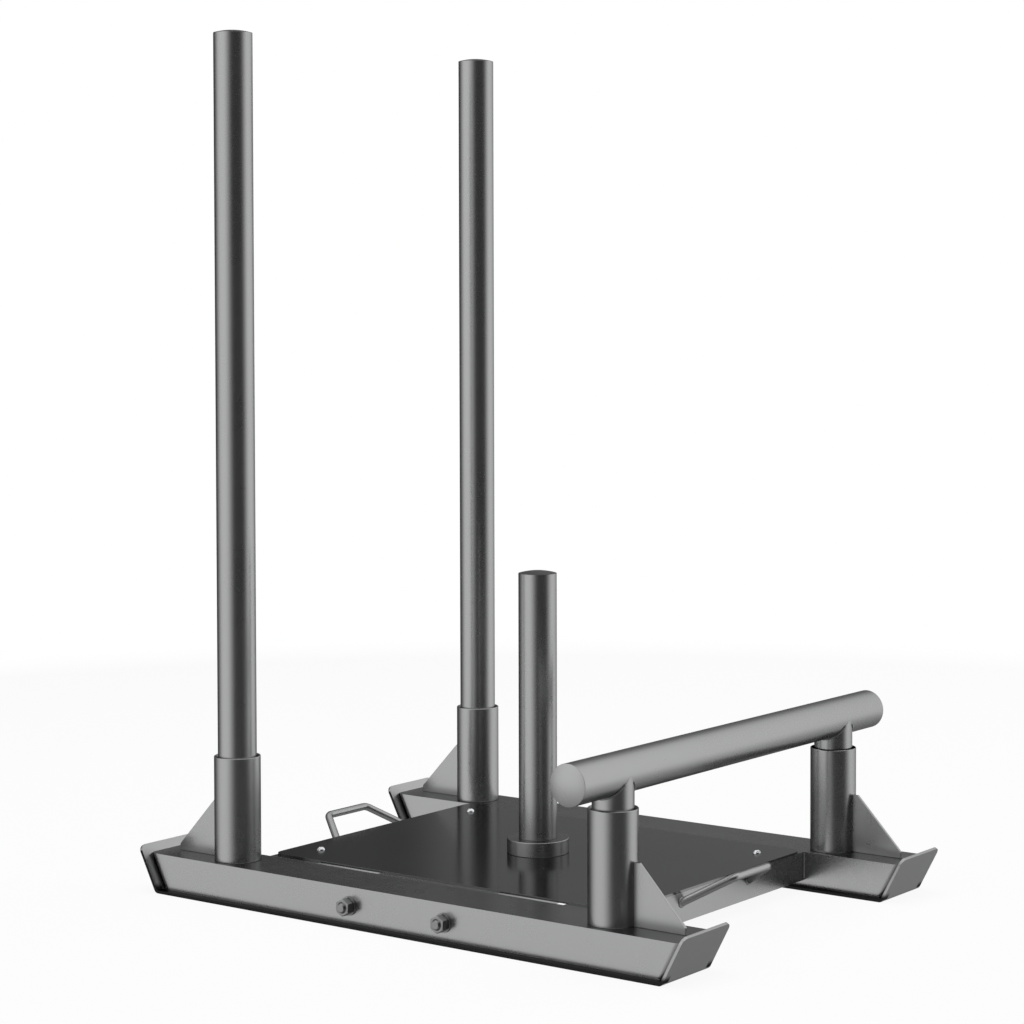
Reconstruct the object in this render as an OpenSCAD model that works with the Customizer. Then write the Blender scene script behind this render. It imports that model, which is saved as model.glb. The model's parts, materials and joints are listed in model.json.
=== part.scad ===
// Weight sled: two ski-shaped runners carry a deck with a plate post in the middle. Two tall push poles and
// a low handle drop into sockets on the runners and lift out again.
// Origin on the floor under the weight post. +X is forward, towards the low handle, +Y left and +Z up.

/* [Runners] */
// Distance between the middles of the two runners
runner_spacing = 500; // [420:5:620]
// Length of a ski plate over its two upturned ends
ski_l = 860; // [800:5:1000]
// Width of a ski plate
ski_w = 98; // [90:1:130]
// Thickness of a ski plate
ski_t = 4; // [3:0.5:6]
// Height of the upturned ends above the floor
lip_h = 58; // [54:1:80]
// Angle of the upturned ends above the floor
lip_angle = 62; // [50:1:75]
// Outer radius of the bend between the flat and an upturned end
ski_bend_r = 8; // [7:0.5:12]
// Radius of the top corners of an upturned end
lip_corner_r = 9; // [4:1:15]
// Width of a runner beam
beam_w = 76; // [70:1:88]
// Height of a runner beam
beam_h = 45; // [42:1:50]
// Wall of a runner beam
beam_wall = 4; // [3:0.5:6]
// Radius of the upright edges at the ends of a runner beam
beam_end_r = 10; // [4:1:16]
// Gap between the end of a beam and the upturned ski plate
beam_end_gap = 0.5; // [0.3:0.1:2]

/* [Tubes and sockets] */
// Outer diameter of the poles, the handle tubes and the weight post
tube_d = 50; // [46:0.5:54]
// Wall of those tubes
tube_wall = 3; // [2:0.5:4]
// Distance from the end of a ski plate to the axis of the nearest socket
socket_inset = 132; // [112:1:145]
// Height of a socket above its runner beam
socket_h = 135; // [110:5:170]
// Gap all round between a tube and its socket
socket_clearance = 0.5; // [0.3:0.1:1]
// Wall of a socket
socket_wall = 4.5; // [3:0.5:7]
// Chamfer round the inner edge of the mouth of a socket
socket_lead_in = 2.5; // [0.5:0.25:2.75]

/* [Gussets] */
// Length of a gusset along its runner beam
gusset_l = 72; // [50:1:85]
// Height of a gusset up its socket
gusset_h = 75; // [50:1:100]
// Thickness of a gusset
gusset_t = 4; // [3:0.5:10]
// Blunt end at each tip of a gusset
gusset_tip = 8.5; // [3:0.5:12]

/* [Deck] */
// Distance from the end of a ski plate to the nearest edge of the deck plate
deck_inset = 153; // [140:1:160]
// Gap between the deck plate and each runner beam
deck_side_gap = 6; // [4:0.5:12]
// Thickness of the deck plate
deck_t = 3; // [2:0.5:6]
// Corner radius of the deck plate
deck_corner_r = 15; // [2:1:20]
// Distance from a deck screw to the front or rear edge of the deck
screw_inset_x = 39; // [25:1:50]
// Distance from a deck screw to the side edge of the deck
screw_inset_y = 49; // [25:1:80]

/* [Crossmembers] */
// Width of the front and rear crossmembers, along the runners
cross_w = 79; // [65:1:85]
// Height of all three crossmembers
cross_h = 37; // [30:1:42]
// Wall of the crossmembers
cross_wall = 3; // [2:0.5:5]
// Width of the channel that carries the weight post
channel_w = 188; // [170:2:210]
// Thickness of the bolted plates at the ends of the channel
end_plate_t = 5; // [4:0.5:8]

/* [Weight post] */
// Length of the weight post above the collar of its base, without the cap
post_l = 346; // [250:1:450]
// Outer diameter of the collar of the base
collar_d = 81; // [70:1:100]
// Height of the collar above the deck
collar_h = 19; // [10:1:30]
// Height of the spigot of the base inside the post
spigot_h = 30; // [20:1:60]
// Thread diameter of the bolt that holds the base from below
post_bolt_d = 16; // [12:1:20]
// Length of that bolt's thread inside the base
post_bolt_grip = 26; // [18:1:40]

/* [Push poles] */
// Length of a tall push pole, without its cap
pole_l = 1065; // [800:5:1200]

/* [Low handle] */
// Height of the middle of the low handle bar above the floor
handle_z = 223; // [215:1:300]
// Distance from the axis of an upright of the low handle to the end of the bar, without the bar's cap
handle_overhang = 89; // [60:1:120]
// Height of the dome of a cap on the handle bar
bar_dome_h = 4; // [2:0.5:8]

/* [Caps and feet] */
// Height of the dome of a tube cap
cap_dome_h = 3.5; // [2:0.5:8]
// Length of the plug that a cap or a foot has inside its tube
plug_l = 18; // [10:1:30]
// Gap all round between a plug and its tube
plug_clearance = 0.2; // [0.1:0.05:0.5]
// Thickness of the disc under a tube that drops into a socket
foot_t = 2; // [1:0.5:4]

/* [Tow loops] */
// Diameter of the bar of a tow loop
loop_d = 10; // [6:1:12]
// Reach of a tow loop in front of its crossmember
loop_reach = 53; // [40:1:60]
// Rise of a tow loop over that reach
loop_rise = 31; // [15:1:40]
// Distance from the middle to where a leg of the tow loop meets the crossmember
loop_base_half = 76; // [60:1:90]
// Distance from the middle to the outer corner of a tow loop
loop_top_half = 39; // [30:1:50]
// Bend radius of a tow loop, on its middle line
loop_bend_r = 10; // [9:1:15]
// Height of the foot of a tow loop below the top of its crossmember
loop_drop = 12; // [10:1:20]

/* [Fasteners] */
// Thread diameter of the side bolts
side_bolt_d = 12; // [10:1:14]
// Distance of a side bolt from the edge of the channel, along the runner
side_bolt_inset = 19; // [17:0.5:35]
// Width across the flats of the side nuts and bolt heads
side_nut_af = 19; // [17:0.5:21]
// Height of the axis of a side bolt above the lower edge of the crossmembers
side_bolt_rise = 13.3; // [12.5:0.1:16]
// Length of thread that shows outside a side nut
side_bolt_stick = 3; // [1:0.5:6]
// Gap all round between a bolt and its hole
hole_clearance = 0.5; // [0.3:0.1:1]
// Thread diameter of the deck screws
screw_d = 6; // [5:1:8]
// Diameter of the dome head of a deck screw
screw_head_d = 11; // [9:0.5:15]
// Height of the domed head of a deck screw
screw_head_h = 4.6; // [3:0.2:5.4]

/* [Hidden] */
$fn = 64;

steel = "#6a6d70";
dark_steel = "#4b4d50";
chrome = "#d8dadc";
plastic = "#2b2c2e";
eps = 0.01;
// how far a cutting shape reaches past the face it cuts
cut = 1;
// how far the blank of a gusset reaches into its socket, before the socket is cut out of it
bite = 1;

right = -1;
left = 1;
rear = -1;
front = 1;

// Runner profile
runner_y = runner_spacing / 2;
socket_x = ski_l / 2 - socket_inset;
deck_l = ski_l - 2 * deck_inset;
beam_z = ski_t;
beam_top = beam_z + beam_h;
lip_run = lip_h / tan(lip_angle);
ski_flat_half = ski_l / 2 - lip_run;
// distance along the floor by which the inner face of an upturned end lies inside its outer face
lip_inset = ski_t / sin(lip_angle);
bend_tangent = ski_bend_r * tan(lip_angle / 2);
lip_len = lip_h / sin(lip_angle);

// Levels of the deck
cross_top = beam_top;
cross_bottom = cross_top - cross_h;
deck_z = cross_top;
deck_top = deck_z + deck_t;
beam_inner_y = runner_y - beam_w / 2;
beam_outer_y = runner_y + beam_w / 2;
deck_half_y = beam_inner_y - deck_side_gap;
cross_outer_x = deck_l / 2;
cross_mid_x = cross_outer_x - cross_w / 2;
screw_x = deck_l / 2 - screw_inset_x;
screw_y = deck_half_y - screw_inset_y;

// Tubes and sockets
tube_r = tube_d / 2;
socket_bore_r = tube_r + socket_clearance;
socket_r = socket_bore_r + socket_wall;
plug_r = tube_r - tube_wall - plug_clearance;
pole_bottom = beam_top + foot_t;
pole_top = beam_top + pole_l;
post_bottom = deck_top + collar_h;
post_top = post_bottom + post_l;
handle_l = runner_spacing + 2 * handle_overhang;

// Proportions of bolts, nuts and washers to the diameter of their thread
head_h_ratio = 0.62;
head_af_ratio = 1.5;
nut_h_ratio = 0.9;
washer_d_ratio = 2;
large_washer_d_ratio = 2.2;

// Side bolts
side_bolt_x = channel_w / 2 - side_bolt_inset;
side_bolt_z = cross_bottom + side_bolt_rise;
side_head_h = side_bolt_d * head_h_ratio;
side_nut_h = side_bolt_d * nut_h_ratio;
side_washer_t = 2.5;
side_washer_d = side_bolt_d * washer_d_ratio;
side_hole_r = side_bolt_d / 2 + hole_clearance;
side_inner_y = beam_inner_y - end_plate_t;
side_bolt_end_y = beam_outer_y + side_washer_t + side_nut_h + side_bolt_stick;

// Post bolt
post_bolt_head_h = post_bolt_d * head_h_ratio;
post_bolt_af = post_bolt_d * head_af_ratio;
post_washer_t = 3;
post_washer_d = post_bolt_d * large_washer_d_ratio;
post_bolt_end_gap = 4;
post_hole_r = post_bolt_d / 2 + hole_clearance;

// Tow loops, in their own tilted plane
loop_u = sqrt(pow(loop_reach, 2) + pow(loop_rise, 2));
loop_tilt = atan2(loop_rise, loop_reach);
loop_leg = sqrt(pow(loop_u, 2) + pow(loop_base_half - loop_top_half, 2));
loop_leg_angle = atan2(loop_base_half - loop_top_half, loop_u);
loop_tangent = loop_bend_r * tan((90 - loop_leg_angle) / 2);
// the straight bars are a trace thinner than the bends, and reach a little way into them
loop_straight_step = 0.1;
loop_straight_d = loop_d - loop_straight_step;
loop_lap = 0.5;

// Deck screws, as proportions of their head or of their thread where a ratio is given
screw_key_ratio = 0.66;
screw_key_floor_ratio = 0.4;
insert_flange_ratio = 2.1;
insert_body_ratio = 1.5;
screw_key_af = screw_d * screw_key_ratio;
screw_key_floor = screw_head_h * screw_key_floor_ratio;
screw_len = 16;
rivet_flange_d = screw_d * insert_flange_ratio;
rivet_flange_t = 1;
rivet_body_d = screw_d * insert_body_ratio;
rivet_body_l = 12;

bend_steps = 8;

module at_side(side) { translate([0, side * runner_y, 0]) children(); }

module at_socket(end, side) { translate([end * socket_x, side * runner_y, beam_top]) children(); }

// a ring standing on z = 0
module ring(outer_r, inner_r, h) {
    rotate_extrude() translate([inner_r, 0]) square([outer_r - inner_r, h]);
}

// a shallow spherical dome of radius r and height h, with its flat side on z = 0
module dome(r, h) {
    sphere_r = (r * r + h * h) / (2 * h);
    intersection() {
        translate([0, 0, h - sphere_r]) sphere(r = sphere_r);
        cylinder(r = r, h = h + cut);
    }
}

module hex_prism(across_flats, h) { cylinder(d = across_flats / cos(30), h = h, $fn = 6); }

// the side view of a ski plate's bend, from the flat to the upturned end, in X and Z
module bend_profile() {
    inner_r = ski_bend_r - ski_t;
    start_x = ski_flat_half - bend_tangent;
    polygon(concat(
        [for (i = [0:bend_steps]) let (a = lip_angle * i / bend_steps)
            [start_x + ski_bend_r * sin(a), ski_bend_r * (1 - cos(a))]],
        [for (i = [bend_steps:-1:0]) let (a = lip_angle * i / bend_steps)
            [start_x + inner_r * sin(a), ski_bend_r - inner_r * cos(a)]]
    ));
}

// an upturned end laid flat: it starts at u = 0, and its far corners are round
module lip_outline(len) {
    difference() {
        translate([0, -ski_w / 2]) square([len, ski_w]);
        for (s = [-1, 1]) translate([len - lip_corner_r, s * (ski_w / 2 - lip_corner_r)]) difference() {
            translate([0, s < 0 ? -lip_corner_r - cut : 0]) square(lip_corner_r + cut);
            circle(r = lip_corner_r);
        }
    }
}

module ski_plate(side) {
    color(dark_steel) at_side(side) union() {
        translate([-(ski_flat_half - bend_tangent), -ski_w / 2, 0])
            cube([2 * (ski_flat_half - bend_tangent), ski_w, ski_t]);
        for (end = [0, 1]) mirror([end, 0, 0]) {
            rotate([90, 0, 0]) linear_extrude(height = ski_w, center = true) bend_profile();
            translate([ski_flat_half, 0, 0]) rotate([0, -lip_angle, 0])
                translate([bend_tangent, 0, 0]) linear_extrude(height = ski_t)
                    lip_outline(lip_len - bend_tangent);
        }
    }
}

// half length of a beam at a height above the floor, where it meets the upturned end
function beam_half(z) = ski_flat_half - lip_inset - beam_end_gap + z / tan(lip_angle);

module beam_outline(inset, z0, z1) {
    toe = ski_bend_r;
    polygon([
        [-beam_half(z0) + toe + inset, z0], [beam_half(z0) - toe - inset, z0],
        [beam_half(z0 + toe) - inset, z0 + toe], [beam_half(z1) - inset, z1],
        [-beam_half(z1) + inset, z1], [-beam_half(z0 + toe) + inset, z0 + toe]
    ]);
}

// what comes off the slanted upright edge at the end of a beam to make it round
module beam_edge_cut() {
    long = beam_top / sin(lip_angle) + 2 * beam_h;
    translate([beam_half(0), beam_w / 2, 0]) rotate([0, 90 - lip_angle, 0])
        translate([-beam_end_r, -beam_end_r, -beam_h]) difference() {
            cube([2 * beam_end_r, 2 * beam_end_r, long]);
            translate([0, 0, -cut]) cylinder(r = beam_end_r, h = long + 2 * cut);
        }
}

module runner_beam(side) {
    color(steel) at_side(side) difference() {
        rotate([90, 0, 0]) linear_extrude(height = beam_w, center = true)
            beam_outline(0, beam_z, beam_top);
        rotate([90, 0, 0]) linear_extrude(height = beam_w - 2 * beam_wall, center = true)
            beam_outline(-beam_h, beam_z + beam_wall, beam_top - beam_wall);
        for (e = [0, 1]) mirror([e, 0, 0]) for (s = [0, 1]) mirror([0, s, 0]) beam_edge_cut();
        for (e = [-1, 1]) translate([e * side_bolt_x, 0, side_bolt_z]) rotate([90, 0, 0])
            cylinder(r = side_hole_r, h = beam_w + 2 * cut, center = true);
    }
}

// socket tube with a chamfered mouth
module socket(end, side) {
    color(steel) at_socket(end, side) difference() {
        cylinder(r = socket_r, h = socket_h);
        translate([0, 0, -cut]) cylinder(r = socket_bore_r, h = socket_h + 2 * cut);
        translate([0, 0, socket_h - socket_lead_in]) cylinder(
            r1 = socket_bore_r, r2 = socket_bore_r + socket_lead_in + cut, h = socket_lead_in + cut);
    }
}

// triangular plate between a socket and its runner, towards the nearest end of the runner
module gusset(end, side) {
    color(steel) at_socket(end, side) mirror([end < 0 ? 1 : 0, 0, 0]) difference() {
        rotate([90, 0, 0]) linear_extrude(height = gusset_t, center = true) polygon([
            [socket_r - bite, 0], [socket_r + gusset_l, 0], [socket_r + gusset_l, gusset_tip],
            [socket_r + gusset_tip, gusset_h], [socket_r - bite, gusset_h]
        ]);
        translate([0, 0, -cut]) cylinder(r = socket_r, h = gusset_h + 2 * cut);
    }
}

// closed rectangular tube across the sled, with holes for two deck screws
module crossmember(end) {
    color(steel) difference() {
        translate([end * cross_mid_x, 0, cross_bottom + cross_h / 2])
            cube([cross_w, 2 * beam_inner_y, cross_h], center = true);
        translate([end * cross_mid_x, 0, cross_bottom + cross_h / 2])
            cube([cross_w - 2 * cross_wall, 2 * (beam_inner_y + cut), cross_h - 2 * cross_wall],
                center = true);
        for (s = [-1, 1]) translate([end * screw_x, s * screw_y, cross_top - cross_wall - cut])
            cylinder(d = rivet_body_d, h = cross_wall + 2 * cut);
        for (s = [-1, 1]) translate([end * screw_x, s * screw_y, cross_top - rivet_flange_t])
            cylinder(d = rivet_flange_d, h = rivet_flange_t + cut);
    }
}

// channel, open below, that carries the weight post between the runners
module post_channel() {
    long = 2 * side_inner_y;
    color(steel) difference() {
        translate([-channel_w / 2, -long / 2, cross_bottom]) cube([channel_w, long, cross_h]);
        translate([-channel_w / 2 + cross_wall, -long / 2 - cut, cross_bottom - cut])
            cube([channel_w - 2 * cross_wall, long + 2 * cut, cross_h - cross_wall + cut]);
        translate([0, 0, cross_top - cross_wall - cut]) cylinder(r = post_hole_r, h = cross_wall + 2 * cut);
    }
}

module end_plate(side) {
    color(steel) difference() {
        translate([-channel_w / 2, side > 0 ? side_inner_y : -beam_inner_y, cross_bottom])
            cube([channel_w, end_plate_t, cross_h]);
        for (e = [-1, 1]) translate([e * side_bolt_x, side * side_inner_y, side_bolt_z]) rotate([90, 0, 0])
            cylinder(r = side_hole_r, h = 2 * (end_plate_t + cut), center = true);
    }
}

module deck_plate() {
    color(dark_steel) translate([0, 0, deck_z]) difference() {
        linear_extrude(height = deck_t) union() {
            square([deck_l - 2 * deck_corner_r, 2 * deck_half_y], center = true);
            square([deck_l, 2 * (deck_half_y - deck_corner_r)], center = true);
            for (e = [-1, 1], s = [-1, 1])
                translate([e * (deck_l / 2 - deck_corner_r), s * (deck_half_y - deck_corner_r)])
                    circle(r = deck_corner_r);
        }
        translate([0, 0, -cut]) cylinder(r = post_hole_r, h = deck_t + 2 * cut);
        for (e = [-1, 1], s = [-1, 1]) translate([e * screw_x, s * screw_y, -cut])
            cylinder(r = screw_d / 2 + hole_clearance, h = deck_t + 2 * cut);
    }
}

module deck_screw() {
    difference() {
        union() {
            dome(screw_head_d / 2, screw_head_h);
            translate([0, 0, -screw_len]) cylinder(d = screw_d, h = screw_len + eps);
        }
        translate([0, 0, screw_key_floor]) hex_prism(screw_key_af, screw_head_h);
    }
}

module deck_screws() {
    color(chrome) for (e = [-1, 1], s = [-1, 1]) translate([e * screw_x, s * screw_y, deck_top]) deck_screw();
}

// flanged thread insert, set flush in the top wall of a crossmember
module rivet_nut() {
    difference() {
        union() {
            translate([0, 0, -rivet_flange_t]) cylinder(d = rivet_flange_d, h = rivet_flange_t);
            translate([0, 0, -rivet_body_l]) cylinder(d = rivet_body_d, h = rivet_body_l);
        }
        translate([0, 0, -rivet_body_l - cut]) cylinder(d = screw_d, h = rivet_body_l + 2 * cut);
    }
}

module deck_rivet_nuts() {
    color(chrome) for (e = [-1, 1], s = [-1, 1]) translate([e * screw_x, s * screw_y, cross_top]) rivet_nut();
}

// puts a part that points along +Z at each side bolt, pointing outwards from the middle of the sled
module at_side_bolts(y) {
    for (e = [-1, 1], s = [-1, 1]) translate([e * side_bolt_x, s * y, side_bolt_z]) rotate([-s * 90, 0, 0])
        children();
}

module side_bolts() {
    color(dark_steel) at_side_bolts(side_inner_y) union() {
        translate([0, 0, -side_head_h]) hex_prism(side_nut_af, side_head_h);
        cylinder(d = side_bolt_d, h = side_bolt_end_y - side_inner_y);
    }
}

module side_washers() {
    color(dark_steel) at_side_bolts(beam_outer_y) ring(side_washer_d / 2, side_hole_r, side_washer_t);
}

module side_nuts() {
    color(dark_steel) at_side_bolts(beam_outer_y + side_washer_t) difference() {
        hex_prism(side_nut_af, side_nut_h);
        translate([0, 0, -cut]) cylinder(d = side_bolt_d, h = side_nut_h + 2 * cut);
    }
}

// flange with a spigot that carries the weight post, threaded from below
module post_base() {
    color(steel) translate([0, 0, deck_top]) difference() {
        union() {
            cylinder(d = collar_d, h = collar_h);
            cylinder(r = plug_r, h = collar_h + spigot_h);
        }
        translate([0, 0, -cut]) cylinder(d = post_bolt_d, h = post_bolt_grip + post_bolt_end_gap + cut);
    }
}

module weight_post() {
    color(steel) translate([0, 0, post_bottom]) ring(tube_r, tube_r - tube_wall, post_l);
}

// dome on the end of a tube, with a plug that goes into the tube below it
module plugged_dome(h) {
    dome(tube_r, h);
    translate([0, 0, -plug_l]) cylinder(r = plug_r, h = plug_l + eps);
}

module tube_cap() { color(plastic) plugged_dome(cap_dome_h); }

// flat disc under a tube, with a plug that goes into the tube above it
module tube_foot() {
    color(plastic) union() {
        cylinder(r = tube_r, h = foot_t);
        cylinder(r = plug_r, h = foot_t + plug_l);
    }
}

module post_cap() { translate([0, 0, post_top]) tube_cap(); }

module post_washer() {
    color(dark_steel) translate([0, 0, cross_top - cross_wall - post_washer_t])
        ring(post_washer_d / 2, post_hole_r, post_washer_t);
}

module post_bolt() {
    head_top = cross_top - cross_wall - post_washer_t;
    color(dark_steel) union() {
        translate([0, 0, head_top - post_bolt_head_h]) hex_prism(post_bolt_af, post_bolt_head_h);
        translate([0, 0, head_top - eps]) cylinder(d = post_bolt_d, h = deck_top + post_bolt_grip - head_top);
    }
}

// one leg and bend of a tow loop in its own plane: X runs out from the crossmember and Y runs across
module loop_side() {
    translate([0, -loop_base_half, 0]) rotate([0, 0, loop_leg_angle]) union() {
        translate([-loop_d, 0, 0]) rotate([0, 90, 0])
            cylinder(d = loop_straight_d, h = loop_d + loop_leg - loop_tangent + loop_lap);
        translate([loop_leg - loop_tangent, loop_bend_r, 0]) rotate([0, 0, -90])
            rotate_extrude(angle = 90 - loop_leg_angle) translate([loop_bend_r, 0]) circle(d = loop_d);
    }
}

module tow_loop(end) {
    color(steel) mirror([end < 0 ? 1 : 0, 0, 0]) difference() {
        translate([cross_outer_x, 0, cross_top - loop_drop]) rotate([0, -loop_tilt, 0]) union() {
            for (m = [0, 1]) mirror([0, m, 0]) loop_side();
            translate([loop_u, 0, 0]) rotate([90, 0, 0])
                cylinder(d = loop_straight_d, h = 2 * (loop_top_half - loop_tangent + loop_lap),
                    center = true);
        }
        translate([cross_outer_x - cross_w, -beam_inner_y, cross_bottom])
            cube([cross_w, 2 * beam_inner_y, cross_h + loop_reach]);
    }
}

module push_pole(side) {
    color(steel) at_side(side) translate([-socket_x, 0, pole_bottom])
        ring(tube_r, tube_r - tube_wall, pole_top - pole_bottom);
}

module pole_cap(side) { at_side(side) translate([-socket_x, 0, pole_top]) tube_cap(); }

module pole_foot(side) { at_side(side) translate([-socket_x, 0, beam_top]) tube_foot(); }

module handle_bar() {
    color(steel) translate([socket_x, handle_l / 2, handle_z]) rotate([90, 0, 0])
        ring(tube_r, tube_r - tube_wall, handle_l);
}

// domed end of the handle bar
module handle_cap(side) {
    color(steel) translate([socket_x, side * handle_l / 2, handle_z]) rotate([-side * 90, 0, 0])
        plugged_dome(bar_dome_h);
}

// upright of the low handle, cut at the top to fit under the bar
module handle_stub(side) {
    color(steel) difference() {
        at_side(side) translate([socket_x, 0, pole_bottom])
            ring(tube_r, tube_r - tube_wall, handle_z - pole_bottom);
        translate([socket_x, 0, handle_z]) rotate([90, 0, 0])
            cylinder(r = tube_r, h = handle_l, center = true);
    }
}

module stub_foot(side) { at_side(side) translate([socket_x, 0, beam_top]) tube_foot(); }

runner_beam(right);  // right_runner_beam
runner_beam(left);  // left_runner_beam
ski_plate(right);  // right_ski_plate
ski_plate(left);  // left_ski_plate
socket(rear, right);  // right_rear_socket
socket(rear, left);  // left_rear_socket
socket(front, right);  // right_front_socket
socket(front, left);  // left_front_socket
gusset(rear, right);  // right_rear_gusset
gusset(rear, left);  // left_rear_gusset
gusset(front, right);  // right_front_gusset
gusset(front, left);  // left_front_gusset
crossmember(front);  // front_crossmember
crossmember(rear);  // rear_crossmember
post_channel();
end_plate(right);  // right_end_plate
end_plate(left);  // left_end_plate
deck_plate();
deck_screws();
deck_rivet_nuts();
side_bolts();
side_washers();
side_nuts();
post_base();
weight_post();
post_cap();
post_bolt();
post_washer();
tow_loop(front);  // front_tow_loop
tow_loop(rear);  // rear_tow_loop
push_pole(right);  // right_push_pole
pole_cap(right);  // right_pole_cap
pole_foot(right);  // right_pole_foot
push_pole(left);  // left_push_pole
pole_cap(left);  // left_pole_cap
pole_foot(left);  // left_pole_foot
handle_bar();
handle_cap(right);  // right_handle_cap
handle_cap(left);  // left_handle_cap
handle_stub(right);  // right_handle_stub
handle_stub(left);  // left_handle_stub
stub_foot(right);  // right_stub_foot
stub_foot(left);  // left_stub_foot
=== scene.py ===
import json
from math import atan2, cos, pi, radians, sin, sqrt, tan

import bpy
from mathutils import Matrix, Vector


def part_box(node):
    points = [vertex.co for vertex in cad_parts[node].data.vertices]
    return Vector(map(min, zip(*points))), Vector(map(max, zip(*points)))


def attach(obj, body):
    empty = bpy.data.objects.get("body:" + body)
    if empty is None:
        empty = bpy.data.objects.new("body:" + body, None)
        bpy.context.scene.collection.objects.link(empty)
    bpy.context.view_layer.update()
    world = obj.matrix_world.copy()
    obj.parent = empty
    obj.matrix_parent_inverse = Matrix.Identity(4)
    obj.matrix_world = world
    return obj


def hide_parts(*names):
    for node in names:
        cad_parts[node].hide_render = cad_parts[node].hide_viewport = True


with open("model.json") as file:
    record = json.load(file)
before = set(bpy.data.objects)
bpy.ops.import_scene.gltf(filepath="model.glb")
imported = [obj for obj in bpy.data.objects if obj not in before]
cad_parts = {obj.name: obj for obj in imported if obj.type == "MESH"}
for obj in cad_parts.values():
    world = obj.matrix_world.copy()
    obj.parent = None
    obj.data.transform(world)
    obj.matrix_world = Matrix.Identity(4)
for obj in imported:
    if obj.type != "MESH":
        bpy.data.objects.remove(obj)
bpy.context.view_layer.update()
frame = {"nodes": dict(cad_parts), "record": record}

# Weight sled. Metres, in the CAD frame: +X to the low handle, +Y to the left runner, +Z up, floor at z = 0.
MM = 0.001
SIDES = {"right": -1, "left": 1}
ENDS = {"rear": -1, "front": 1}

# Camera of the photograph, in pixels of its 1024 x 1024 frame
PHOTO_SIDE = 1024
FOCAL_PIXELS = 2595.61
CENTRE_PIXEL = (600.0, 397.08)
SENSOR = 36.0
CLIP = (0.05, 50)
EYE = Vector((2.02964, -2.68653, 0.77169))
HEADING = radians(125.6826)
DIP = radians(2.14085)
ROLL = radians(-0.06398)

# Softboxes: compass direction from the sled, distance, height of the middle, width, height and watts
SOFTBOXES = {
    "side_softbox": (-121, 3.2, 1.25, 4.8, 2.7, 64),
    "back_softbox": (58, 3.2, 1.70, 6.0, 3.6, 92),
}
TOP_SOFTBOX_HEIGHT = 3.0
TOP_SOFTBOX_SIDE = 2.6
TOP_SOFTBOX_WATTS = 60
ROOM_GREY = 0.015

# What the finishes mirror of the studio, by direction. A sector holds its compass direction and, in degrees
# from there, where it has ended and up to where it is full. A fade holds where it is at 0 and where it is
# at 1: compass degrees in a START or an END, and the direction's Z in the others.
# Two broad white walls, which fade towards the floor
SIDE_WALL = (-120, 68, 14)
BACK_WALL = (70, 74, 28)
BACK_WALL_END = (132, 90)
WALL_FOOT = (-0.80, -0.06)
# The dark foreground, and the floor's glow below it
GROUND_GREY = 0.04
GROUND_GLOW = 0.27
GROUND_SPAN = (-0.22, -0.55)
# The grey backdrop behind the sled, a thin strip beside it and the dim corner beyond
BACKDROP_GREY = 0.32
BACKDROP_START = (60, 100)
BACKDROP_END = (130.2, 129.0)
STRIP = (131.3, 1.6, 0.6)
STRIP_GREY = 0.15
CORNER = (150, 60, 25)
CORNER_GREY = 0.11
# The bright ceiling, which flat tops show
CEILING = (0.55, 0.78)
CEILING_GREY = 0.9

# Floor: how far it reaches in front of the sled, and how it fades to the white of the background
FLOOR_COLOUR = (0.95, 0.95, 0.95, 1)
FLOOR_FRONT = 0.68
FLOOR_SIZE = 8.0
FLOOR_FADE = (0.5, 2.6)
FLOOR_WHITE = 0.92
FLOOR_FRONT_FADE = 0.12

# Finishes: how much of a coat behaves as metal, its trace of blue, and how strong a relief is
METAL = 0.97
COOL = (1.0, 1.005, 1.01)
RELIEF_STRENGTH = 0.5
# Their noises: scale per metre and detail, how far each moves the colour (TINT) and the roughness (GLOSS),
# and how deep its relief is (DEPTH)
FILM, FILM_TINT, FILM_GLOSS = (5.0, 3.0), 0.10, 0.08
BLOTCH, BLOTCH_TINT, BLOTCH_GLOSS = (60.0, 3.0), 0.04, 0.06
PEEL, PEEL_DEPTH = (620.0, 1.0), 0.006 * MM
GRIT, GRIT_TINT, GRIT_IN_PEEL = (2600.0, 0.0), 0.04, 0.2
DECK_FILM, DECK_FILM_TINT, DECK_FILM_GLOSS = (4.0, 3.0), 0.16, 0.04
WAVE, WAVE_DEPTH = (130.0, 1.0), 0.01 * MM
SPECK, SPECK_TINT = (2200.0, 0.0), 0.10
HAZE, HAZE_TINT, HAZE_GLOSS, HAZE_DEPTH = (900.0, 2.0), 0.12, 0.08, 0.004 * MM
STAIN, STAIN_TINT, STAIN_GLOSS, STAIN_DEPTH = (260.0, 3.0), 0.3, 0.14, 0.01 * MM
GRAIN, GRAIN_TINT, GRAIN_GLOSS, GRAIN_DEPTH = (1900.0, 2.0), 0.1, 0.12, 0.03 * MM
CAP_FILM, CAP_FILM_TINT = (25.0, 2.0), 0.2
MOTTLE, MOTTLE_TINT = (40.0, 3.0), 0.01

# Ski plates: soles rubbed bright in streaks, and painted shade darkening the edges along the flat part and
# the rear lip.
# Each span runs from where the mark has ended to where it is full.
SOLE = (1.2 * MM, 0.2 * MM)
STREAK_STRETCH = (6.0, 160.0, 1.0)
STREAK_NOISE = (1.0, 4.0, 0.65)
STREAKS = (0.50, 0.72)
WORN_GREY = 0.5
WORN_GLOSS = 0.12
# painted shade: the near-black grey of the ski's edges and ledges, where the beam shades them
PAINTED_SHADE_GREY = 0.02
RIM_INSET = (0.5 * MM, 0.1 * MM)
RIM_HEIGHT = (14 * MM, 6 * MM)
REAR_LIP = (-0.30, -0.36)
LEDGE_OUT = (0.2 * MM, 0.8 * MM)
LEDGE_HEIGHT = (3.0 * MM, 3.8 * MM)

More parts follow.
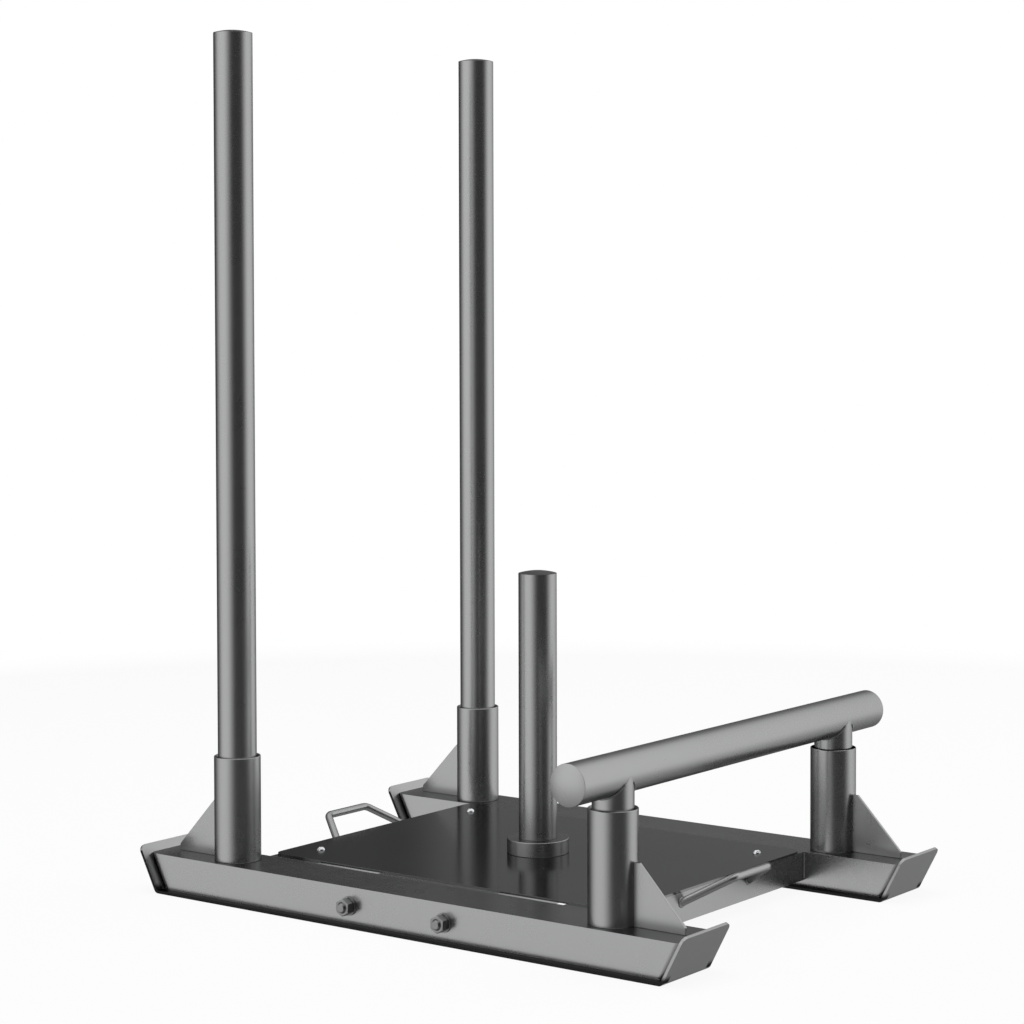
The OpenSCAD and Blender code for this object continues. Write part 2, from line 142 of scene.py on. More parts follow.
# Rounding of the edges
SHEET_EDGE = 0.5 * MM
TUBE_EDGE = 0.8 * MM
THIN_TUBE_EDGE = 0.4 * MM
BAR_EDGE = 0.5 * MM
SECTION_EDGE = 2.2 * MM
SOCKET_EDGE = 1.5 * MM
SMALL_EDGE = 0.25 * MM
TINY_EDGE = 0.125 * MM
CREASE = radians(32)
BAR_CREASE = radians(50)
MERGE = 0.005 * MM
FLAT = radians(0.5)

# Welds. What is off a surface is how far the middle of a bead stands out, in shares of its radius.
FRAME_BEAD = 1.6 * MM
FRAME_BEAD_OFF = 0.2
FRAME_BEAD_ENDS = (1 * MM, 2 * MM)
LOOP_BEAD = 1.2 * MM
LOOP_BEAD_OFF = 0.2
LOOP_RING_OFF = 0.5
LOOP_RING_STEPS = 40
COPE_BEAD = 1.4 * MM
COPE_UPRIGHT_OFF = 0.25
COPE_BAR_OFF = 0.35
COPE_REACH = 0.955
COPE_STEPS = 60
RIPPLE_PITCH = 2.6 * MM
RIPPLE_STEPS = 4
RIPPLE = 0.07
BEAD_TIP = 0.35

# Fasteners: M12 coarse thread, whose rings are in shares of pitch and depth, and what is turned off the ends
# of the bolts and the corners of the nuts
THREAD_PITCH = 1.75 * MM
THREAD_DEPTH = 0.9 * MM
THREAD_LENGTH = 18 * MM
THREAD_RINGS = ((0.45, 1), (0.55, 1), (0.95, 0), (1.0, 0))
BOLT_STEPS = 40
BOLT_END = 1.2 * MM
NUT_CHAMFER = 0.96
NUT_CONE = radians(30)
NUT_CONE_STEPS = 48
NUT_CLEAR = 1.1
NUT_CLEAR_RISE = 1.01
NUT_MOUTH = 1.0 * MM

# Side bolts as the CAD source has them: thread diameter and height of the head
SIDE_BOLT = 12 * MM
SIDE_HEAD = 0.62 * SIDE_BOLT

# Tow loop as the CAD source draws it: bar, reach, rise, half widths at foot and top, bend, drop of the feet
LOOP_BAR = 10 * MM
LOOP_REACH = 53 * MM
LOOP_RISE = 31 * MM
LOOP_FOOT_HALF = 76 * MM
LOOP_TOP_HALF = 39 * MM
LOOP_BEND = 10 * MM
LOOP_DROP = 12 * MM
# Its length in its tilted plane, how far its feet go into the crossmember, and how finely it is drawn
LOOP_RUN = sqrt(LOOP_REACH ** 2 + LOOP_RISE ** 2)
LOOP_SUNK = 2.5 * MM
LOOP_BEND_STEPS = 10
LOOP_STEP = 2.5 * MM


class Value:
    """An output of a shader node. Python's operators on it add Math nodes."""

    def __init__(self, nodes, socket):
        self.nodes, self.socket = nodes, socket

    def maths(self, operation, *terms):
        return self.nodes.make("ShaderNodeMath", {"operation": operation}, dict(enumerate(terms or (self,))))

    def __add__(self, other):
        return self.maths("ADD", self, other)

    def __sub__(self, other):
        return self.maths("SUBTRACT", self, other)

    def __rsub__(self, other):
        return self.maths("SUBTRACT", other, self)

    def __mul__(self, other):
        return self.maths("MULTIPLY", self, other)

    def __truediv__(self, other):
        return self.maths("DIVIDE", self, other)

    def __rtruediv__(self, other):
        return self.maths("DIVIDE", other, self)

    def __pow__(self, other):
        return self.maths("POWER", self, other)

    __radd__ = __add__
    __rmul__ = __mul__

    def absolute(self):
        return self.maths("ABSOLUTE")

    def greatest(self, other):
        return self.maths("MAXIMUM", self, other)

    def ramp(self, low, high):
        """0 below low, 1 above high and smooth between; low may be the larger one."""
        return self.nodes.make("ShaderNodeMapRange", {"interpolation_type": "SMOOTHSTEP"},
                               {"Value": self, "From Min": low, "From Max": high})

    def swing(self, width):
        """A noise turned into a change round 0, as wide as this from end to end."""
        return (self - 0.5) * width


class Nodes:
    """The node tree of one material, or of the world."""

    def __init__(self, owner):
        owner.use_nodes = True
        self.tree = owner.node_tree
        self.tree.nodes.clear()

    def make(self, kind, settings, values, output=0):
        node = self.tree.nodes.new(kind)
        for name, setting in settings.items():
            setattr(node, name, setting)
        for name, value in values.items():
            if isinstance(value, Value):
                self.tree.links.new(value.socket, node.inputs[name])
            else:
                node.inputs[name].default_value = value
        return Value(self, node.outputs[output] if node.outputs else None)

    def coordinates(self, kind="Object"):
        return self.make("ShaderNodeTexCoord", {}, {}, kind)

    def noise(self, place, scale, detail, roughness=0.5):
        return self.make("ShaderNodeTexNoise", {},
                         {"Vector": place, "Scale": scale, "Detail": detail, "Roughness": roughness})

    def stretched(self, place, scale):
        return self.make("ShaderNodeMapping", {}, {"Vector": place, "Scale": scale})

    def axis(self, place, name):
        return self.make("ShaderNodeSeparateXYZ", {}, {"Vector": place}, name)

    def tinted(self, colour, share):
        """A colour made lighter or darker by a value round 1."""
        return self.make("ShaderNodeVectorMath", {"operation": "SCALE"}, {0: colour[:3], "Scale": share})

    def mixed(self, share, first, second):
        return self.make("ShaderNodeMix", {"data_type": "RGBA"}, {0: share, 6: first, 7: second}, 2)

    def bump(self, height, distance):
        return self.make("ShaderNodeBump", {},
                         {"Height": height, "Distance": distance, "Strength": RELIEF_STRENGTH})

    def ray(self, kind):
        return self.make("ShaderNodeLightPath", {}, {}, f"Is {kind} Ray")

    def seen_as_background(self):
        """1 for rays from the camera, from a mirror finish and through glass."""
        return self.ray("Camera").greatest(self.ray("Glossy")).greatest(self.ray("Transmission"))

    def surface(self, shader, target="ShaderNodeOutputMaterial"):
        self.make(target, {}, {"Surface": shader})


def grey(level):
    """A grey with the finishes' trace of blue."""
    return (*(level * share for share in COOL), 1.0)


def neutral(level):
    return (level, level, level, 1.0)


def new_material(name):
    material = bpy.data.materials.new(name)
    nodes = Nodes(material)
    return material, nodes, nodes.coordinates()


def coated(material, nodes, sockets):
    """Closes a material with one shader that has these sockets."""
    nodes.surface(nodes.make("ShaderNodeBsdfPrincipled", {}, sockets))
    return material


def powder_coat(name, level, roughness, edge_level, ski=False):
    """Satin metallic powder coat with faint orange peel. A ski's is worn below and has painted shade
    darkening its edges.
    """
    material, nodes, place = new_material(name)
    film, blotch = nodes.noise(place, *FILM), nodes.noise(place, *BLOTCH)
    peel, grit = nodes.noise(place, *PEEL), nodes.noise(place, *GRIT)
    share = 1 + film.swing(FILM_TINT) + blotch.swing(BLOTCH_TINT) + grit.swing(GRIT_TINT)
    colour = nodes.tinted(grey(level), share)
    gloss = roughness + film.swing(FILM_GLOSS) + blotch.swing(BLOTCH_GLOSS)
    if ski:
        worn = sole_wear(nodes, place)
        colour = nodes.mixed(worn, colour, grey(WORN_GREY))
        # painted shade: darkens the ski's edges, rear lip and ledges, where shade falls under the beam
        colour = nodes.mixed(painted_edge_shade(nodes, place), colour, grey(PAINTED_SHADE_GREY))
        gloss = gloss - worn * WORN_GLOSS
    return coated(material, nodes, {
        "Base Color": colour, "Metallic": METAL, "Roughness": gloss, "Specular Tint": neutral(edge_level),
        "Normal": nodes.bump(peel + grit * GRIT_IN_PEEL, PEEL_DEPTH)})


def sole_wear(nodes, place):
    """Where the sole of a ski is rubbed: streaks along the way it slides."""
    streaks = nodes.noise(nodes.stretched(place, STREAK_STRETCH), *STREAK_NOISE)
    return streaks.ramp(*STREAKS) * nodes.axis(place, "Z").ramp(*SOLE)


def painted_edge_shade(nodes, place):
    """Where a ski plate gets painted shade: side faces low down and at the rear lip, and the ledges beside
    the beam, where shade falls.
    """
    low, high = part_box("left_ski_plate")
    half = (high.y - low.y) / 2
    beam_low, beam_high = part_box("left_runner_beam")
    beam_half = (beam_high.y - beam_low.y) / 2
    across = (nodes.axis(place, "Y").absolute() - (low.y + high.y) / 2).absolute()
    height = nodes.axis(place, "Z")
    rim = across.ramp(*(half - inset for inset in RIM_INSET))
    ledge = across.ramp(*(beam_half + out for out in LEDGE_OUT)) * height.ramp(*LEDGE_HEIGHT)
    low_down = height.ramp(*RIM_HEIGHT)
    rear_lip = nodes.axis(place, "X").ramp(*REAR_LIP)
    return (rim * low_down.greatest(rear_lip)).greatest(ledge * low_down)


def deck_enamel(name, level, roughness, edge_level):
    """Smooth dark enamel of the deck plate, glossier than the frame."""
    material, nodes, place = new_material(name)
    film, wave = nodes.noise(place, *DECK_FILM), nodes.noise(place, *WAVE)
    speck = nodes.noise(place, *SPECK)
    share = 1 + film.swing(DECK_FILM_TINT) + speck.swing(SPECK_TINT)
    return coated(material, nodes, {
        "Base Color": nodes.tinted(grey(level), share), "Metallic": METAL,
        "Roughness": roughness + film.swing(DECK_FILM_GLOSS), "Specular Tint": neutral(edge_level),
        "Normal": nodes.bump(wave, WAVE_DEPTH)})


def zinc_plate(name, colour, roughness):
    """Bright zinc of the deck screws."""
    material, nodes, place = new_material(name)
    haze = nodes.noise(place, *HAZE)
    return coated(material, nodes, {
        "Base Color": nodes.tinted(colour, 1 + haze.swing(HAZE_TINT)), "Metallic": 1.0,
        "Roughness": roughness + haze.swing(HAZE_GLOSS), "Normal": nodes.bump(haze, HAZE_DEPTH)})


def blackened_steel(name, level, roughness):
    """Dark satin finish of the bolts, nuts and washers."""
    material, nodes, place = new_material(name)
    stain = nodes.noise(place, *STAIN)
    return coated(material, nodes, {
        "Base Color": nodes.tinted(grey(level), 1 + stain.swing(STAIN_TINT)), "Metallic": METAL,
        "Roughness": roughness + stain.swing(STAIN_GLOSS), "Normal": nodes.bump(stain, STAIN_DEPTH)})


def moulded_plastic(name, level, roughness, shine):
    """Matt dark plastic of the tube caps and feet, with a fine eroded grain."""
    material, nodes, place = new_material(name)
    grain, film = nodes.noise(place, *GRAIN), nodes.noise(place, *CAP_FILM)
    share = 1 + film.swing(CAP_FILM_TINT) + grain.swing(GRAIN_TINT)
    return coated(material, nodes, {
        "Base Color": nodes.tinted(grey(level), share), "Roughness": roughness + grain.swing(GRAIN_GLOSS),
        "Specular IOR Level": shine, "Normal": nodes.bump(grain, GRAIN_DEPTH)})


FINISHES = {
    "frame_paint": powder_coat("frame_powder_coat", level=0.44, roughness=0.28, edge_level=0.35),
    "ski_paint": powder_coat("ski_powder_coat", level=0.44, roughness=0.30, edge_level=0.50, ski=True),
    "deck_paint": deck_enamel("deck_enamel", level=0.26, roughness=0.15, edge_level=0.50),
    "bright_zinc": zinc_plate("zinc_plate", colour=(0.80, 0.81, 0.83, 1.0), roughness=0.12),
    "dark_fastener": blackened_steel("blackened_steel", level=0.30, roughness=0.32),
    "cap_plastic": moulded_plastic("moulded_plastic", level=0.04, roughness=0.48, shine=0.3),
}
SLOT_OF = {part["node"]: part["material_slot"] for part in frame["record"]["subparts"]}
BODY_OF = {node: body for body, nodes in frame["record"]["behaviour"]["bodies"].items() for node in nodes}


def only(piece):
    """Leaves one object selected and active."""
    bpy.ops.object.select_all(action="DESELECT")
    piece.select_set(True)
    bpy.context.view_layer.objects.active = piece


def settled(piece):
    """Puts the piece's place into its mesh."""
    only(piece)
    bpy.ops.object.transform_apply(location=True, rotation=True, scale=True)
    return piece


def applied(piece, kind, **settings):
    """Adds a modifier and applies it."""
    only(piece)
    modifier = piece.modifiers.new(kind.lower(), kind)
    for name, value in settings.items():
        setattr(modifier, name, value)
    bpy.ops.object.modifier_apply(modifier=modifier.name)


def smoothed(piece, angle=CREASE):
    only(piece)
    bpy.ops.object.shade_smooth_by_angle(angle=angle)
    return piece


def edged(piece, width, segments=2):
    """Rounds the sharp edges of a piece, smooths the rest and keeps its large faces flat in the light."""
    applied(piece, "BEVEL", width=width, segments=segments, limit_method="ANGLE", angle_limit=CREASE)
    smoothed(piece)
    applied(piece, "WEIGHTED_NORMAL", keep_sharp=True, weight=100)
    return piece


def cleaned(piece, facing=False):
    """Merges doubles and, where asked, turns all faces outwards."""
    only(piece)
    bpy.ops.object.mode_set(mode="EDIT")
    bpy.ops.mesh.select_all(action="SELECT")
    bpy.ops.mesh.remove_doubles(threshold=MERGE)
    if facing:
        bpy.ops.mesh.normals_make_consistent(inside=False)
    bpy.ops.object.mode_set(mode="OBJECT")


def finished(piece, slot, body, *nodes):
    """Gives a piece its finish, the body it rides on and the CAD nodes it stands for."""
    piece.data.materials.clear()
    piece.data.materials.append(FINISHES[slot])
    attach(piece, body)
    if nodes:
        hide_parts(*nodes)
    return piece


def copy_of(node, name):
    """A merged copy of a CAD node's mesh, with its flat faces in one piece."""
    piece = bpy.data.objects.new(name, frame["nodes"][node].data.copy())
    bpy.context.scene.collection.objects.link(piece)
    cleaned(piece)
    bpy.ops.object.mode_set(mode="EDIT")
    bpy.ops.mesh.select_all(action="SELECT")
    bpy.ops.mesh.dissolve_limited(angle_limit=FLAT)
    bpy.ops.object.mode_set(mode="OBJECT")
    return piece


def eased(node, width, segments=2):
    """A CAD node with rounded edges in its place."""
    piece = edged(copy_of(node, node + "_eased"), width, segments)
    return finished(piece, SLOT_OF[node], BODY_OF[node], node)


def joined(pieces, name):
    """Several pieces as one."""
    bpy.ops.object.select_all(action="DESELECT")
    for piece in pieces:
        piece.select_set(True)
    bpy.context.view_layer.objects.active = pieces[0]
    if len(pieces) > 1:
        bpy.ops.object.join()
    pieces[0].name = name
    return pieces[0]


def middle(node):
    low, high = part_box(node)
    return (low + high) / 2


def spaced(path, step, closed):
    """The same path with points at even steps."""
    corners = path + path[:1] if closed else path
    lengths = [0.0]
    for here, there in zip(corners, corners[1:]):
        lengths.append(lengths[-1] + (there - here).length)
    count = max(2, round(lengths[-1] / step))
    points, leg = [], 0
    for i in range(count if closed else count + 1):
        along = lengths[-1] * i / count
        while leg < len(corners) - 2 and lengths[leg + 1] < along:
            leg += 1
        share = (along - lengths[leg]) / (lengths[leg + 1] - lengths[leg])
        points.append(corners[leg].lerp(corners[leg + 1], min(share, 1.0)))
    return points


def swept(name, paths, radius, closed=False, ripple=0.0, rings=3):
    """A round bar along each path. With a ripple it is a weld bead, its ends tapered."""
    curve = bpy.data.curves.new(name, "CURVE")
    curve.dimensions = "3D"
    curve.bevel_depth = radius
    curve.bevel_resolution = rings
    curve.use_fill_caps = True
    for path in paths:
        spline = curve.splines.new("POLY")
        spline.points.add(len(path) - 1)
        spline.use_cyclic_u = closed
        for i, point in enumerate(path):
            spline.points[i].co = (*point, 1.0)
            fullness = 1.0
            if ripple:
                fullness += ripple * (abs(sin(pi * i / RIPPLE_STEPS)) * 2 - 1)
                ends = min(i, len(path) - 1 - i) / RIPPLE_STEPS
                if not closed and ends < 1:
                    fullness *= BEAD_TIP + (1 - BEAD_TIP) * sqrt(ends)
            spline.points[i].radius = fullness
    piece = bpy.data.objects.new(name, curve)
    bpy.context.scene.collection.objects.link(piece)
    only(piece)
    bpy.ops.object.convert(target="MESH")
    piece = bpy.context.view_layer.objects.active
    cleaned(piece, facing=True)
    return smoothed(piece, BAR_CREASE)


def weld(name, paths, radius, body, closed=False, slot="frame_paint"):
    """Weld beads with the ripple of the puddle."""
    step = RIPPLE_PITCH / RIPPLE_STEPS
    piece = swept(name, [spaced(path, step, closed) for path in paths], radius, closed, RIPPLE)
    return finished(piece, slot, body)


# Levels and lines that the CAD boxes give
beam_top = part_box("right_runner_beam")[1].z
beam_inner = abs(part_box("right_runner_beam")[1].y)
tube_radius = (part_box("right_push_pole")[1].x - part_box("right_push_pole")[0].x) / 2
handle_height = middle("handle_bar").z


def steelwork():
    """The CAD's own parts, each with the rounding its edges have."""
    for side in SIDES:
        eased(f"{side}_runner_beam", SECTION_EDGE, segments=4)
        eased(f"{side}_ski_plate", SHEET_EDGE)
        eased(f"{side}_end_plate", SHEET_EDGE)
        eased(f"{side}_push_pole", TUBE_EDGE)
        eased(f"{side}_handle_stub", THIN_TUBE_EDGE)
        eased(f"{side}_handle_cap", BAR_EDGE)
        for end in ENDS:
            eased(f"{side}_{end}_socket", SOCKET_EDGE, segments=3)
            eased(f"{side}_{end}_gusset", TUBE_EDGE, segments=3)
        for closure in ("pole_foot", "stub_foot", "pole_cap"):
            eased(f"{side}_{closure}", SMALL_EDGE)
    for end in ENDS:
        eased(f"{end}_crossmember", SECTION_EDGE, segments=4)
    eased("post_channel", TUBE_EDGE, segments=3)
    eased("deck_plate", SHEET_EDGE)
    eased("post_base", TUBE_EDGE, segments=3)
    eased("weight_post", THIN_TUBE_EDGE)
    eased("post_cap", SMALL_EDGE)
    eased("handle_bar", BAR_EDGE)
    eased("deck_screws", TINY_EDGE)
    for node in ("deck_rivet_nuts", "side_washers", "post_washer", "post_bolt"):
        eased(node, SMALL_EDGE)


def crossmember_welds():
    """Beads down both upright edges of each crossmember end, on the runner beams."""
    off = FRAME_BEAD * FRAME_BEAD_OFF
    below, above = FRAME_BEAD_ENDS
    paths = []
    for way in SIDES.values():
        for end in ENDS:
            low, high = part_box(f"{end}_crossmember")
            y = way * (beam_inner - off)
            for x in (low.x - off, high.x + off):
                paths.append([Vector((x, y, low.z + below)), Vector((x, y, high.z - above))])
    weld("crossmember_welds", paths, FRAME_BEAD, "frame")


def shade_painted_cope_welds():
    """The seams where the uprights of the low handle are cut to fit under the bar. Each face of an upright
    has one, a weld bead in the darker fastener finish that paints the shade of the joint as a dark line, and
    it ends before the flanks, where tube and bar run flush."""
    paths = []
    upright = tube_radius + COPE_BEAD * COPE_UPRIGHT_OFF
    bar = tube_radius + COPE_BEAD * COPE_BAR_OFF
    for side in SIDES:
        centre = middle(f"{side}_handle_stub")
        for face in (-1, 1):
            path = []
            for i in range(COPE_STEPS + 1):
                x = upright * COPE_REACH * (2 * i / COPE_STEPS - 1)
                path.append(Vector((centre.x + x, centre.y + face * sqrt(upright ** 2 - x ** 2),
                                    handle_height - sqrt(bar ** 2 - x ** 2))))
            paths.append(path)
    # painted shade: the bead takes the darker fastener finish so that the seam shows the shade in the joint
    # as a dark line
    weld("shade_painted_cope_welds", paths, COPE_BEAD, "low_handle", slot="dark_fastener")


def loop_outline():
    """Half of a tow loop in its tilted plane, u outwards and v across, from a foot to the end of the bend."""
    lean = atan2(LOOP_FOOT_HALF - LOOP_TOP_HALF, LOOP_RUN)
    angle = pi / 2 - lean
    tangent = LOOP_BEND * tan(angle / 2)
    centre_u = LOOP_RUN - tangent * cos(lean) - LOOP_BEND * sin(lean)
    centre_v = LOOP_TOP_HALF + tangent * sin(lean) - LOOP_BEND * cos(lean)
    half = [(-LOOP_SUNK, LOOP_FOOT_HALF + LOOP_SUNK * tan(lean))]
    for i in range(LOOP_BEND_STEPS + 1):
        turn = angle - angle * i / LOOP_BEND_STEPS
        half.append((centre_u + LOOP_BEND * cos(turn), centre_v + LOOP_BEND * sin(turn)))
    return half


def ring(centre, radius, steps):
    """Points round a line along X."""
    turns = [2 * pi * i / steps for i in range(steps)]
    return [centre + Vector((0, radius * cos(t), radius * sin(t))) for t in turns]


def tow_loops():
    """Each loop as one smooth bent bar, with a bead round each foot."""
    half = loop_outline()
    outline = half + [(u, -v) for u, v in reversed(half)]
    foot_z = beam_top - LOOP_DROP
    rings = []
    for end, way in ENDS.items():
        low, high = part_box(f"{end}_crossmember")
        face = high.x if way > 0 else low.x
        path = [Vector((face + way * u * LOOP_REACH / LOOP_RUN, v, foot_z + u * LOOP_RISE / LOOP_RUN))
                for u, v in outline]
        bar = swept(f"{end}_tow_loop_bar", [spaced(path, LOOP_STEP, False)], LOOP_BAR / 2, rings=5)
        finished(bar, "frame_paint", "frame", f"{end}_tow_loop")
        for side in (-1, 1):
            foot = Vector((face + way * LOOP_BEAD * LOOP_BEAD_OFF, side * LOOP_FOOT_HALF, foot_z))
            rings.append(ring(foot, LOOP_BAR / 2 + LOOP_BEAD * LOOP_RING_OFF, LOOP_RING_STEPS))
    weld("tow_loop_welds", rings, LOOP_BEAD, "frame", closed=True)


def turned(name, rings, steps):
    """A solid turned round Z, from rings given as height and radius, bottom to top."""
    bpy.ops.object.select_all(action="DESELECT")
    bpy.ops.mesh.primitive_circle_add(vertices=steps, radius=rings[0][1], fill_type="NGON",
                                      location=(0, 0, rings[0][0]))
    piece = settled(bpy.context.object)
    piece.name = name
    bpy.ops.object.mode_set(mode="EDIT")
    bpy.ops.mesh.select_all(action="SELECT")
    for (low, inner), (high, outer) in zip(rings, rings[1:]):
        bpy.ops.mesh.extrude_region_move(TRANSFORM_OT_translate={"value": (0, 0, high - low)})
        share = outer / inner
        bpy.ops.transform.resize(value=(share, share, 1), center_override=(0, 0, high))
    bpy.ops.object.mode_set(mode="OBJECT")
    cleaned(piece, facing=True)
    return piece


def cut_with(body, tool, operation):
    """Cuts a body with a tool, which is used up."""
    applied(body, "BOOLEAN", operation=operation, solver="EXACT", object=tool)
    bpy.data.objects.remove(tool)


def hexagon(name, across_flats, height):
    """A hexagon body on z = 0 whose corners are turned off at both ends."""
    corner = across_flats / sqrt(3)
    bpy.ops.object.select_all(action="DESELECT")
    bpy.ops.mesh.primitive_cylinder_add(vertices=6, radius=corner, depth=height, location=(0, 0, height / 2))
    body = settled(bpy.context.object)
    body.name = name
    # what stays lies in a lens: just under the flats at both ends, cones up to the corners, and clear between
    flat = across_flats / 2 * NUT_CHAMFER
    rise = (corner - flat) * tan(NUT_CONE)
    step, clear = rise * NUT_CLEAR_RISE, corner * NUT_CLEAR
    lens = turned(name + "_lens", [(0, flat), (rise, corner), (step, clear), (height - step, clear),
                                   (height - rise, corner), (height, flat)], NUT_CONE_STEPS)
    cut_with(body, lens, "INTERSECT")
    return body


def threaded_rod(name, radius, start, end):
    """A bar along Z with a chamfered end and a coarse thread for the last part of its length."""
    z = end - THREAD_LENGTH
    rings = [(start, radius), (z, radius)]
    while z + THREAD_PITCH < end - BOLT_END:
        rings += [(z + THREAD_PITCH * along, radius - THREAD_DEPTH * deep) for along, deep in THREAD_RINGS]
        z += THREAD_PITCH
    rings += [(end - BOLT_END, radius), (end, radius - BOLT_END)]
    return turned(name, rings, BOLT_STEPS)


def side_nut(across_flats, height, thread):
    """A nut on z = 0 with turned corners and a countersunk mouth."""
    nut = hexagon("side_nut", across_flats, height)
    bore = [(-MM, thread), (height - NUT_MOUTH, thread), (height + MM, thread + NUT_MOUTH + MM)]
    cut_with(nut, turned("mouth", bore, BOLT_STEPS), "DIFFERENCE")
    return nut


def side_bolt(across_flats, end, thread):
    """A bolt up to z = end with its head under z = 0."""
    head = hexagon("side_bolt", across_flats, SIDE_HEAD)
    head.matrix_world = Matrix.Translation((0, 0, -SIDE_HEAD))
    return joined([settled(head), threaded_rod("rod", thread, -SIDE_HEAD / 2, end)], "side_bolt")


def side_fasteners():
    """The nuts on the outer sides of the runners, and the bolts whose ends stand out of them."""
    low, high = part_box("side_nuts")
    bolt_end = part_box("side_bolts")[1].y
    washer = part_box("side_washers")[1].y
    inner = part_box("right_end_plate")[1].y
    across = high.z - low.z
    corner = across / sqrt(3)
    height = (low.z + high.z) / 2
    nuts, bolts = [], []
    for x in (low.x + corner, high.x - corner):
        for side in SIDES.values():
            turn = Matrix.Rotation(-side * pi / 2, 4, "X")
            nut = side_nut(across, high.y - washer, SIDE_BOLT / 2)
            nut.matrix_world = Matrix.Translation((x, side * washer, height)) @ turn
            nuts.append(settled(nut))
            bolt = side_bolt(across, bolt_end + inner, SIDE_BOLT / 2)
            bolt.matrix_world = Matrix.Translation((x, -side * inner, height)) @ turn
            bolts.append(settled(bolt))
    for pieces, name, node in ((nuts, "side_nuts_chamfered", "side_nuts"),
                               (bolts, "side_bolts_threaded", "side_bolts")):
        piece = edged(joined(pieces, name), TINY_EDGE, segments=1)
        finished(piece, "dark_fastener", "frame", node)


def floor():
    """A plain pale floor that ends just in front of the picture and fades to white all round."""
    back = Vector((-cos(HEADING), -sin(HEADING), 0))
    bpy.ops.object.select_all(action="DESELECT")
    bpy.ops.mesh.primitive_plane_add(size=FLOOR_SIZE, location=(0, 0, 0))
    piece = bpy.context.object
    piece.name = "floor"
    piece.rotation_euler.z = atan2(back.y, back.x)
    piece.location = back * (FLOOR_FRONT - FLOOR_SIZE / 2)
    settled(piece)
    material, nodes, place = new_material("floor")
    x, y = nodes.axis(place, "X"), nodes.axis(place, "Y")
    away = (x ** 2.0 + y ** 2.0) ** 0.5
    front = x * back.x + y * back.y
    fade = away.ramp(*FLOOR_FADE).greatest(front.ramp(FLOOR_FRONT - FLOOR_FRONT_FADE, FLOOR_FRONT))
    share = fade.greatest(FLOOR_WHITE) * nodes.seen_as_background()
    mottle = nodes.noise(place, *MOTTLE).swing(MOTTLE_TINT)
    lit = nodes.make("ShaderNodeBsdfDiffuse", {}, {"Color": nodes.tinted(FLOOR_COLOUR, 1 + mottle)})
    white = nodes.make("ShaderNodeEmission", {}, {"Strength": 1.0})
    nodes.surface(nodes.make("ShaderNodeMixShader", {}, {0: share, 1: lit, 2: white}))
    piece.data.materials.append(material)
    piece.visible_glossy = False


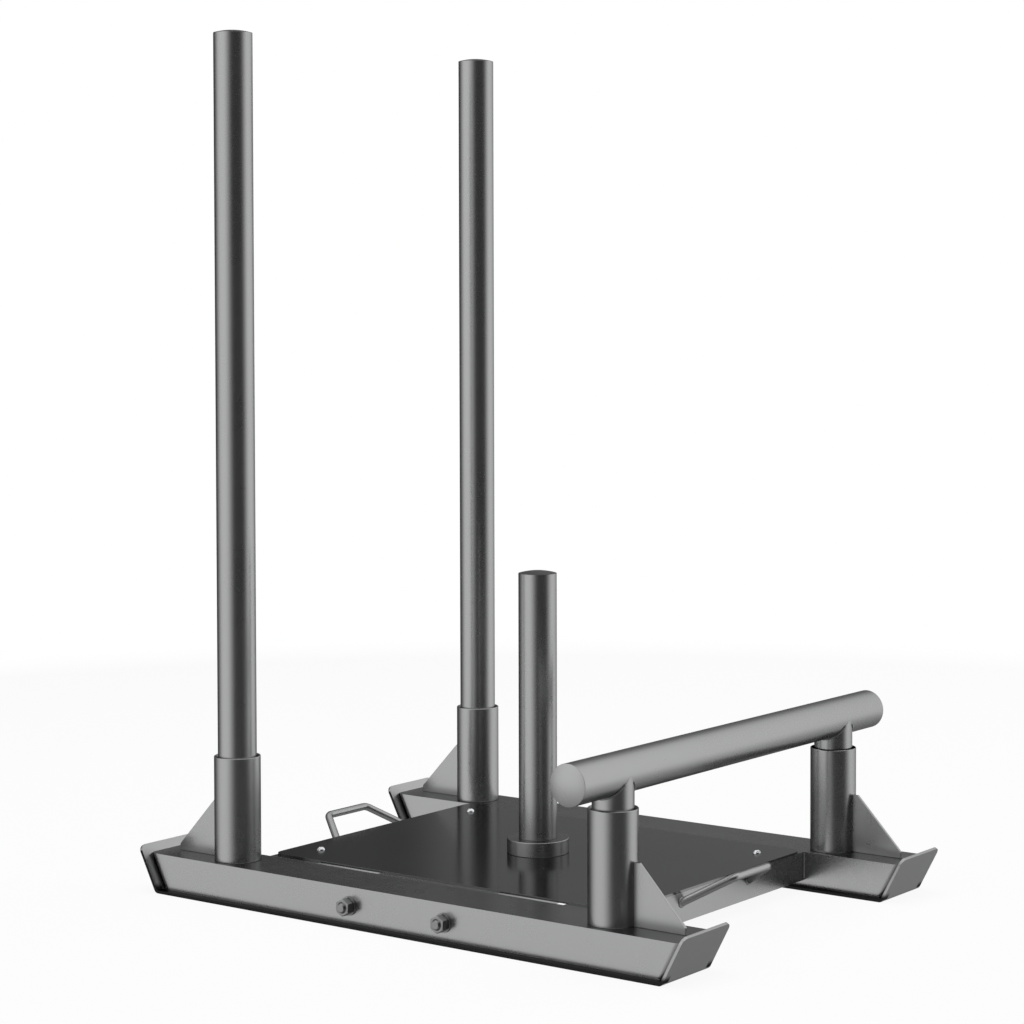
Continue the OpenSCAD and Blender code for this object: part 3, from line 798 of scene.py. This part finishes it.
def studio():
    """A dim room lit by softboxes. The camera sees it white, and finishes mirror its walls and backdrop."""
    world = bpy.data.worlds.new("studio")
    bpy.context.scene.world = world
    nodes = Nodes(world)
    direction = nodes.coordinates("Generated")
    x, y, z = (nodes.axis(direction, name) for name in "XYZ")
    level = (x * x + y * y) ** 0.5
    azimuth = y.maths("ARCTAN2", y, x)

    def sector(compass, end, full):
        """1 round a compass direction, fading to 0 at an angle from it."""
        turn = radians(compass)
        return ((x * cos(turn) + y * sin(turn)) / level).maths("ARCCOSINE").ramp(radians(end), radians(full))

    def fade(zero, one):
        """0 at one compass direction and 1 at another."""
        return azimuth.ramp(radians(zero), radians(one))

    ground = GROUND_GREY + z.ramp(*GROUND_SPAN) * (GROUND_GLOW - GROUND_GREY)
    backdrop = fade(*BACKDROP_START) * fade(*BACKDROP_END) * BACKDROP_GREY
    dim = ground.greatest(backdrop).greatest(sector(*CORNER) * CORNER_GREY)
    dim = dim.greatest(sector(*STRIP) * STRIP_GREY).greatest(z.ramp(*CEILING) * CEILING_GREY)
    walls = sector(*SIDE_WALL).greatest(sector(*BACK_WALL) * fade(*BACK_WALL_END)) * z.ramp(*WALL_FOOT)
    seen = dim + walls * (1 - dim)
    share = nodes.ray("Camera").greatest(seen * nodes.seen_as_background())
    room = nodes.make("ShaderNodeBackground", {}, {"Color": grey(ROOM_GREY), "Strength": 1.0})
    white = nodes.make("ShaderNodeBackground", {}, {"Color": (1, 1, 1, 1), "Strength": 1.0})
    mix = nodes.make("ShaderNodeMixShader", {}, {0: share, 1: room, 2: white})
    nodes.surface(mix, "ShaderNodeOutputWorld")
    for name, (compass, distance, height, width, tall, watts) in SOFTBOXES.items():
        turn = radians(compass)
        place = Vector((distance * cos(turn), distance * sin(turn), height))
        softbox(name, place, Vector((0, 0, height)), width, tall, watts)
    softbox("top_softbox", Vector((0, 0, TOP_SOFTBOX_HEIGHT)), Vector((0, 0, 0)), TOP_SOFTBOX_SIDE,
            TOP_SOFTBOX_SIDE, TOP_SOFTBOX_WATTS)


def softbox(name, place, target, width, height, watts):
    """A soft area light that no camera or mirror finish sees."""
    lamp = bpy.data.lights.new(name, "AREA")
    lamp.shape = "RECTANGLE"
    lamp.size, lamp.size_y, lamp.energy = width, height, watts
    holder = bpy.data.objects.new(name, lamp)
    holder.location = place
    holder.rotation_euler = (target - place).to_track_quat("-Z", "Y").to_euler()
    holder.visible_camera = holder.visible_glossy = False
    bpy.context.scene.collection.objects.link(holder)


def camera():
    """The photograph's camera."""
    lens = bpy.data.cameras.new("camera")
    lens.sensor_width = SENSOR
    lens.lens = FOCAL_PIXELS / PHOTO_SIDE * SENSOR
    lens.shift_x = 0.5 - CENTRE_PIXEL[0] / PHOTO_SIDE
    lens.shift_y = CENTRE_PIXEL[1] / PHOTO_SIDE - 0.5
    lens.clip_start, lens.clip_end = CLIP
    ahead = Vector((cos(HEADING) * cos(DIP), sin(HEADING) * cos(DIP), -sin(DIP)))
    level = Vector((sin(HEADING), -cos(HEADING), 0))
    upright = level.cross(ahead)
    across = level * cos(ROLL) + upright * sin(ROLL)
    up = upright * cos(ROLL) - level * sin(ROLL)
    holder = bpy.data.objects.new("camera", lens)
    holder.matrix_world = Matrix.Translation(EYE) @ Matrix((across, up, -ahead)).transposed().to_4x4()
    bpy.context.scene.collection.objects.link(holder)
    bpy.context.scene.camera = holder


bpy.context.scene.view_settings.view_transform = "Standard"
for name, node in frame["nodes"].items():
    node.data.materials.clear()
    node.data.materials.append(FINISHES[SLOT_OF[name]])
camera()
studio()
floor()
steelwork()
crossmember_welds()
shade_painted_cope_welds()
tow_loops()
side_fasteners()
